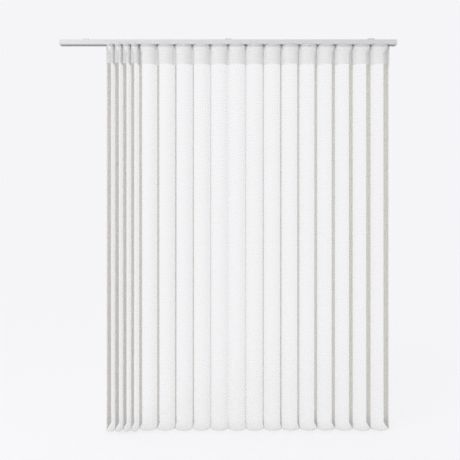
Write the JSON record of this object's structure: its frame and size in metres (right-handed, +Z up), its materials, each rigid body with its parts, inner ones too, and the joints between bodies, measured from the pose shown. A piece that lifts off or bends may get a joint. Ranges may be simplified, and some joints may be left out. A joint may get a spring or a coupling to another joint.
{
  "type": "vertical blind",
  "caption": "Ceiling-hung vertical blind: sliding carriers in a slotted rail hold turning opaque vanes behind one waved sheer facing with a plain heading.",
  "frame": {"origin": "on the ceiling plane, midway between the end brackets' screw holes", "axes": "+X along the rail towards the stacking end, +Y from the room to the window, +Z up"},
  "size_m": [1.7, 0.1521, 1.97],
  "materials": {
    "rail_paint": "satin white enamel",
    "cap_plastic": "moulded, fine grain",
    "bracket_steel": "zinc plated",
    "rod_aluminium": "mill",
    "carrier_plastic": "moulded",
    "vane_fabric": "close opaque weave",
    "sheer_voile": "open voile weave"
  },
  "bodies": {
    "rail": {"headrail": "rail_paint", "end_cap_left": "cap_plastic", "end_cap_right": "cap_plastic", "bracket_left": "bracket_steel", "bracket_middle": "bracket_steel", "bracket_right": "bracket_steel", "carrier_19": "carrier_plastic", "sheer_curtain": "sheer_voile"},
    "tilt_rod": {"tilt_rod": "rod_aluminium", "chain_wheel": "cap_plastic"},
    "carrier_01": {"carrier_01": "carrier_plastic"},
    "carrier_02": {"carrier_02": "carrier_plastic"},
    "carrier_03": {"carrier_03": "carrier_plastic"},
    "carrier_04": {"carrier_04": "carrier_plastic"},
    "carrier_05": {"carrier_05": "carrier_plastic"},
    "carrier_06": {"carrier_06": "carrier_plastic"},
    "carrier_07": {"carrier_07": "carrier_plastic"},
    "carrier_08": {"carrier_08": "carrier_plastic"},
    "carrier_09": {"carrier_09": "carrier_plastic"},
    "carrier_10": {"carrier_10": "carrier_plastic"},
    "carrier_11": {"carrier_11": "carrier_plastic"},
    "carrier_12": {"carrier_12": "carrier_plastic"},
    "carrier_13": {"carrier_13": "carrier_plastic"},
    "carrier_14": {"carrier_14": "carrier_plastic"},
    "carrier_15": {"carrier_15": "carrier_plastic"},
    "carrier_16": {"carrier_16": "carrier_plastic"},
    "carrier_17": {"carrier_17": "carrier_plastic"},
    "carrier_18": {"carrier_18": "carrier_plastic"},
    "vane_01": {"vane_01": "vane_fabric"},
    "vane_02": {"vane_02": "vane_fabric"},
    "vane_03": {"vane_03": "vane_fabric"},
    "vane_04": {"vane_04": "vane_fabric"},
    "vane_05": {"vane_05": "vane_fabric"},
    "vane_06": {"vane_06": "vane_fabric"},
    "vane_07": {"vane_07": "vane_fabric"},
    "vane_08": {"vane_08": "vane_fabric"},
    "vane_09": {"vane_09": "vane_fabric"},
    "vane_10": {"vane_10": "vane_fabric"},
    "vane_11": {"vane_11": "vane_fabric"},
    "vane_12": {"vane_12": "vane_fabric"},
    "vane_13": {"vane_13": "vane_fabric"},
    "vane_14": {"vane_14": "vane_fabric"},
    "vane_15": {"vane_15": "vane_fabric"},
    "vane_16": {"vane_16": "vane_fabric"},
    "vane_17": {"vane_17": "vane_fabric"},
    "vane_18": {"vane_18": "vane_fabric"},
    "vane_19": {"vane_19": "vane_fabric"}
  },
  "joints": [
    {"name": "draw_18", "type": "slide", "parent": "rail", "child": "carrier_18", "axis": [1, 0, 0], "range_m": [0, 0.0495], "deforming": ["sheer_curtain"]},
    {"name": "draw_17", "type": "slide", "parent": "carrier_18", "child": "carrier_17", "axis": [1, 0, 0], "range_m": [0, 0.0495], "deforming": ["sheer_curtain"]},
    {"name": "draw_16", "type": "slide", "parent": "carrier_17", "child": "carrier_16", "axis": [1, 0, 0], "range_m": [0, 0.0495], "deforming": ["sheer_curtain"]},
    {"name": "draw_15", "type": "slide", "parent": "carrier_16", "child": "carrier_15", "axis": [1, 0, 0], "range_m": [0, 0.0495], "deforming": ["sheer_curtain"]},
    {"name": "draw_14", "type": "slide", "parent": "carrier_15", "child": "carrier_14", "axis": [1, 0, 0], "range_m": [0, 0.0495], "deforming": ["sheer_curtain"]},
    {"name": "draw_13", "type": "slide", "parent": "carrier_14", "child": "carrier_13", "axis": [1, 0, 0], "range_m": [0, 0.0495], "deforming": ["sheer_curtain"]},
    {"name": "draw_12", "type": "slide", "parent": "carrier_13", "child": "carrier_12", "axis": [1, 0, 0], "range_m": [0, 0.0495], "deforming": ["sheer_curtain"]},
    {"name": "draw_11", "type": "slide", "parent": "carrier_12", "child": "carrier_11", "axis": [1, 0, 0], "range_m": [0, 0.0495], "deforming": ["sheer_curtain"]},
    {"name": "draw_10", "type": "slide", "parent": "carrier_11", "child": "carrier_10", "axis": [1, 0, 0], "range_m": [0, 0.0495], "deforming": ["sheer_curtain"]},
    {"name": "draw_09", "type": "slide", "parent": "carrier_10", "child": "carrier_09", "axis": [1, 0, 0], "range_m": [0, 0.0495], "deforming": ["sheer_curtain"]},
    {"name": "draw_08", "type": "slide", "parent": "carrier_09", "child": "carrier_08", "axis": [1, 0, 0], "range_m": [0, 0.0495], "deforming": ["sheer_curtain"]},
    {"name": "draw_07", "type": "slide", "parent": "carrier_08", "child": "carrier_07", "axis": [1, 0, 0], "range_m": [0, 0.0495], "deforming": ["sheer_curtain"]},
    {"name": "draw_06", "type": "slide", "parent": "carrier_07", "child": "carrier_06", "axis": [1, 0, 0], "range_m": [0, 0.0495], "deforming": ["sheer_curtain"]},
    {"name": "draw_05", "type": "slide", "parent": "carrier_06", "child": "carrier_05", "axis": [1, 0, 0], "range_m": [0, 0.0495], "deforming": ["sheer_curtain"]},
    {"name": "draw_04", "type": "slide", "parent": "carrier_05", "child": "carrier_04", "axis": [1, 0, 0], "range_m": [-0.0495, 0], "deforming": ["sheer_curtain"]},
    {"name": "draw_03", "type": "slide", "parent": "carrier_04", "child": "carrier_03", "axis": [1, 0, 0], "range_m": [-0.0495, 0], "deforming": ["sheer_curtain"]},
    {"name": "draw_02", "type": "slide", "parent": "carrier_03", "child": "carrier_02", "axis": [1, 0, 0], "range_m": [-0.0495, 0], "deforming": ["sheer_curtain"]},
    {"name": "draw_01", "type": "slide", "parent": "carrier_02", "child": "carrier_01", "axis": [1, 0, 0], "range_m": [-0.0495, 0], "deforming": ["sheer_curtain"]},
    {"name": "tilt_01", "type": "hinge", "parent": "carrier_01", "child": "vane_01", "pos_m": [-0.612, 0, 0], "axis": [0, 0, 1], "range_deg": [-75, 75]},
    {"name": "tilt_02", "type": "hinge", "parent": "carrier_02", "child": "vane_02", "pos_m": [-0.5715, 0, 0], "axis": [0, 0, 1], "range_deg": [-75, 75]},
    {"name": "tilt_03", "type": "hinge", "parent": "carrier_03", "child": "vane_03", "pos_m": [-0.531, 0, 0], "axis": [0, 0, 1], "range_deg": [-75, 75]},
    {"name": "tilt_04", "type": "hinge", "parent": "carrier_04", "child": "vane_04", "pos_m": [-0.4905, 0, 0], "axis": [0, 0, 1], "range_deg": [-75, 75]},
    {"name": "tilt_05", "type": "hinge", "parent": "carrier_05", "child": "vane_05", "pos_m": [-0.45, 0, 0], "axis": [0, 0, 1], "range_deg": [-75, 75]},
    {"name": "tilt_06", "type": "hinge", "parent": "carrier_06", "child": "vane_06", "pos_m": [-0.36, 0, 0], "axis": [0, 0, 1], "range_deg": [-75, 75]},
    {"name": "tilt_07", "type": "hinge", "parent": "carrier_07", "child": "vane_07", "pos_m": [-0.27, 0, 0], "axis": [0, 0, 1], "range_deg": [-75, 75]},
    {"name": "tilt_08", "type": "hinge", "parent": "carrier_08", "child": "vane_08", "pos_m": [-0.18, 0, 0], "axis": [0, 0, 1], "range_deg": [-75, 75]},
    {"name": "tilt_09", "type": "hinge", "parent": "carrier_09", "child": "vane_09", "pos_m": [-0.09, 0, 0], "axis": [0, 0, 1], "range_deg": [-75, 75]},
    {"name": "tilt_10", "type": "hinge", "parent": "carrier_10", "child": "vane_10", "pos_m": [0, 0, 0], "axis": [0, 0, 1], "range_deg": [-75, 75]},
    {"name": "tilt_11", "type": "hinge", "parent": "carrier_11", "child": "vane_11", "pos_m": [0.09, 0, 0], "axis": [0, 0, 1], "range_deg": [-75, 75]},
    {"name": "tilt_12", "type": "hinge", "parent": "carrier_12", "child": "vane_12", "pos_m": [0.18, 0, 0], "axis": [0, 0, 1], "range_deg": [-75, 75]},
    {"name": "tilt_13", "type": "hinge", "parent": "carrier_13", "child": "vane_13", "pos_m": [0.27, 0, 0], "axis": [0, 0, 1], "range_deg": [-75, 75]},
    {"name": "tilt_14", "type": "hinge", "parent": "carrier_14", "child": "vane_14", "pos_m": [0.36, 0, 0], "axis": [0, 0, 1], "range_deg": [-75, 75]},
    {"name": "tilt_15", "type": "hinge", "parent": "carrier_15", "child": "vane_15", "pos_m": [0.45, 0, 0], "axis": [0, 0, 1], "range_deg": [-75, 75]},
    {"name": "tilt_16", "type": "hinge", "parent": "carrier_16", "child": "vane_16", "pos_m": [0.54, 0, 0], "axis": [0, 0, 1], "range_deg": [-75, 75]},
    {"name": "tilt_17", "type": "hinge", "parent": "carrier_17", "child": "vane_17", "pos_m": [0.63, 0, 0], "axis": [0, 0, 1], "range_deg": [-75, 75]},
    {"name": "tilt_18", "type": "hinge", "parent": "carrier_18", "child": "vane_18", "pos_m": [0.72, 0, 0], "axis": [0, 0, 1], "range_deg": [-75, 75]},
    {"name": "tilt_19", "type": "hinge", "parent": "rail", "child": "vane_19", "pos_m": [0.81, 0, 0], "axis": [0, 0, 1], "range_deg": [-75, 75]},
    {"name": "rod_spin", "type": "hinge", "parent": "rail", "child": "tilt_rod", "pos_m": [0, 0.0095, -0.0205], "axis": [1, 0, 0], "range_deg": [-900, 900]}
  ],
  "couplings": [
    {"joint": "tilt_02", "follows": "tilt_01", "ratio": 1},
    {"joint": "tilt_03", "follows": "tilt_01", "ratio": 1},
    {"joint": "tilt_04", "follows": "tilt_01", "ratio": 1},
    {"joint": "tilt_05", "follows": "tilt_01", "ratio": 1},
    {"joint": "tilt_06", "follows": "tilt_01", "ratio": 1},
    {"joint": "tilt_07", "follows": "tilt_01", "ratio": 1},
    {"joint": "tilt_08", "follows": "tilt_01", "ratio": 1},
    {"joint": "tilt_09", "follows": "tilt_01", "ratio": 1},
    {"joint": "tilt_10", "follows": "tilt_01", "ratio": 1},
    {"joint": "tilt_11", "follows": "tilt_01", "ratio": 1},
    {"joint": "tilt_12", "follows": "tilt_01", "ratio": 1},
    {"joint": "tilt_13", "follows": "tilt_01", "ratio": 1},
    {"joint": "tilt_14", "follows": "tilt_01", "ratio": 1},
    {"joint": "tilt_15", "follows": "tilt_01", "ratio": 1},
    {"joint": "tilt_16", "follows": "tilt_01", "ratio": 1},
    {"joint": "tilt_17", "follows": "tilt_01", "ratio": 1},
    {"joint": "tilt_18", "follows": "tilt_01", "ratio": 1},
    {"joint": "tilt_19", "follows": "tilt_01", "ratio": 1},
    {"joint": "rod_spin", "follows": "tilt_01", "ratio": 12}
  ]
}
